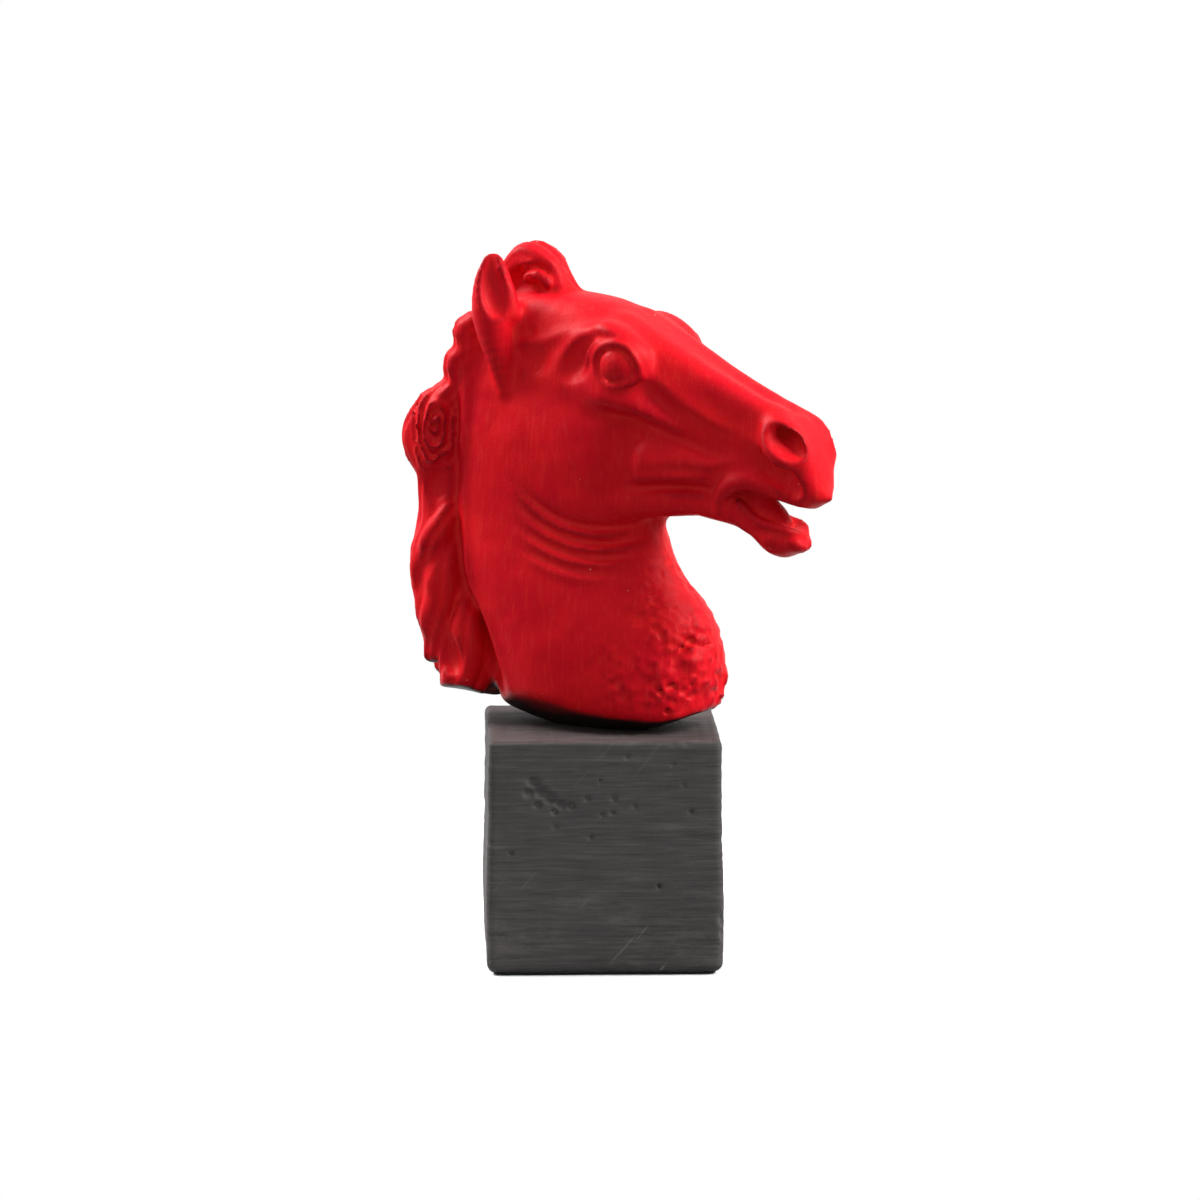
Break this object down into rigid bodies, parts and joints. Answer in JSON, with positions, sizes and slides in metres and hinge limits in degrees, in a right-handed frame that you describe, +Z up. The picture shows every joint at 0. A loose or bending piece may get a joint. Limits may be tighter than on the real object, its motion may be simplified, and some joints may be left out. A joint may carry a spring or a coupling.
{
  "type": "horse head sculpture on a plinth",
  "caption": "Red horse-head bust with open mouth and curled mane, pinned on a dark cube plinth; a free-standing ornament.",
  "frame": {"origin": "centre of the felt's underside, on the surface the sculpture stands on", "axes": "+Z up through the fixing rod, +X and +Y square to the plinth's sides, the muzzle between +X and -Y"},
  "size_m": [0.165, 0.1105, 0.277],
  "materials": {
    "red_paint": "matte red paint on a cast body",
    "grey_casting": "brushed dark grey casting",
    "zinc_steel": "zinc plated",
    "spring_steel": "blackened spring steel",
    "brass": "turned brass",
    "felt": "pressed wool felt"
  },
  "bodies": {
    "root": {"horse_head": "red_paint", "plinth": "grey_casting", "mounting_rod": "zinc_steel", "head_insert": "brass", "plinth_washer": "zinc_steel", "lock_washer": "spring_steel", "hex_nut": "zinc_steel", "base_felt": "felt"}
  },
  "joints": []
}
